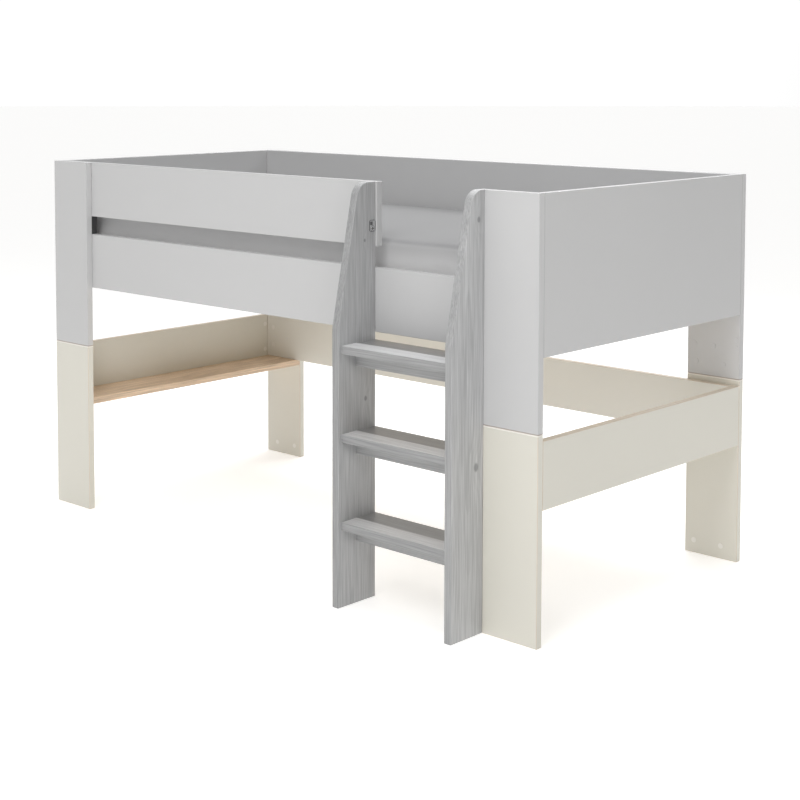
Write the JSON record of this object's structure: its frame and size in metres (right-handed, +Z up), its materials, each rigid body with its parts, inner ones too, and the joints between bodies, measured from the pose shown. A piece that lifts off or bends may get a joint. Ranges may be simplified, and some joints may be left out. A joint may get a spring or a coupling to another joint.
{
  "type": "loft bed",
  "caption": "Half-high loft bed of painted boards with a ladder, guard rail, boarded ends and rear, grey over cream legs, an end shelf, slatted base and mattress.",
  "frame": {"origin": "on the floor, at the middle of the whole object's footprint, ladder included", "axes": "+X along the bed towards its ladder end, -Y towards the front where the ladder stands, +Z up"},
  "size_m": [2.07, 1.152, 1.182],
  "materials": {
    "grey_board": "satin",
    "cream_board": "satin",
    "shelf_board": "satin",
    "stained_pine": "satin",
    "dark_spacer": "matte",
    "plain_pine": "matte",
    "mattress_cover": "matte",
    "zinc_cam": "satin",
    "steel_rod": "satin",
    "steel_screw": "satin",
    "grey_cap": "matte",
    "cream_cap": "matte",
    "beech_dowel": "matte",
    "connector_plastic": "matte"
  },
  "bodies": {
    "bed": {"upper_leg_front_left": "grey_board", "upper_leg_front_right": "grey_board", "upper_leg_rear_left": "grey_board", "upper_leg_rear_right": "grey_board", "end_panel_left": "grey_board", "end_panel_right": "grey_board", "rear_panel": "grey_board", "side_rail_front": "grey_board", "guard_rail": "grey_board", "lower_leg_front_left": "cream_board", "lower_leg_front_right": "cream_board", "lower_leg_rear_left": "cream_board", "lower_leg_rear_right": "cream_board", "lower_end_rail_left": "cream_board", "lower_end_rail_right": "cream_board", "lower_rear_rail": "cream_board", "end_shelf": "shelf_board", "guard_spacer": "dark_spacer", "ladder_stile_left": "stained_pine", "ladder_stile_right": "stained_pine", "ladder_tread_bottom": "stained_pine", "ladder_tread_middle": "stained_pine", "ladder_tread_top": "stained_pine", "tread_support_bottom": "stained_pine", "tread_support_middle": "stained_pine", "tread_support_top": "stained_pine", "slat_ledger_front": "plain_pine", "slat_ledger_rear": "plain_pine", "slats": "plain_pine", "leg_cams": "zinc_cam", "frame_cams": "zinc_cam", "ladder_cams": "zinc_cam", "guard_connector_cam": "zinc_cam", "leg_joint_rods": "steel_rod", "frame_rods": "steel_rod", "ladder_rods": "steel_rod", "guard_connector_rod": "steel_rod", "board_screws": "steel_screw", "ledger_screws": "steel_screw", "slat_screws": "steel_screw", "tread_screws": "steel_screw", "ladder_bolts": "steel_screw", "cover_caps_grey": "grey_cap", "cover_caps_cream": "cream_cap", "frame_dowels": "beech_dowel", "ladder_dowels": "beech_dowel", "guard_connector_housing": "connector_plastic"},
    "mattress": {"mattress": "mattress_cover"}
  },
  "joints": [
    {"name": "mattress_lift", "type": "slide", "parent": "bed", "child": "mattress", "axis": [0, 0, 1], "range_m": [0, 0.5]}
  ]
}
